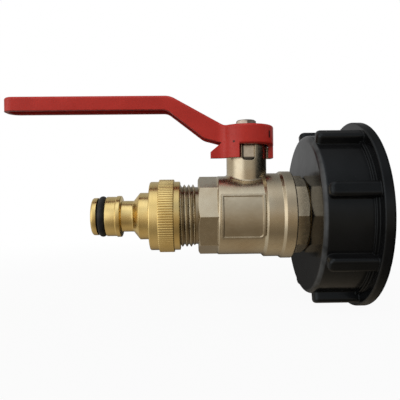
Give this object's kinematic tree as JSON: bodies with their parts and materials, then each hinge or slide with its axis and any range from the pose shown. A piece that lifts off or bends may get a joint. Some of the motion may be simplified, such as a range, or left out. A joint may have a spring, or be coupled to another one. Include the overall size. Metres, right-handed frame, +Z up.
{
  "type": "container ball valve adapter",
  "caption": "Quarter-turn lever ball valve in nickelled brass, with a black ribbed coupling nut for a container outlet and a brass click-on hose nipple.",
  "frame": {"origin": "centre of the coupling nut's mouth plane, on the flow axis", "axes": "+X along the flow axis out of the mouth, towards the container; +Z up the stem; the lever points to -X at rest, valve open"},
  "size_m": [0.1489, 0.077, 0.0886],
  "materials": {
    "nickel_brass": "satin nickel plate over cast brass",
    "turned_brass": "bright turned brass",
    "stem_brass": "turned brass",
    "gland_nickel": "nickel plate",
    "chromed_ball": "polished",
    "ptfe": "white, waxy",
    "black_rubber": "satin",
    "fibre": "fibre washer",
    "zinc_steel": "zinc plate",
    "red_paint": "satin red paint",
    "black_plastic": "moulded, semi-gloss"
  },
  "bodies": {
    "valve": {"valve_body": "nickel_brass", "body_end": "nickel_brass", "seat_outlet": "ptfe", "seat_tank_side": "ptfe", "spigot": "stem_brass", "stem_thrust_washer": "ptfe", "stem_packing": "ptfe", "gland_nut": "gland_nickel", "tap_connector": "turned_brass", "nipple_o_ring": "black_rubber", "connector_washer": "black_rubber", "body_joint_seal": "ptfe", "spigot_washer": "fibre", "tank_gasket": "black_rubber"},
    "spindle": {"ball": "chromed_ball", "stem": "stem_brass", "stem_o_ring": "black_rubber", "lever": "red_paint", "lever_washer": "zinc_steel", "lever_nut": "zinc_steel"},
    "coupling": {"tank_cap": "black_plastic"}
  },
  "joints": [
    {"name": "lever_turn", "type": "hinge", "parent": "valve", "child": "spindle", "pos_m": [-0.0474, 0, 0], "axis": [0, 0, 1], "range_deg": [-90, 0]},
    {"name": "coupling_spin", "type": "hinge", "parent": "valve", "child": "coupling", "pos_m": [0, 0, 0], "axis": [1, 0, 0], "continuous": true}
  ]
}
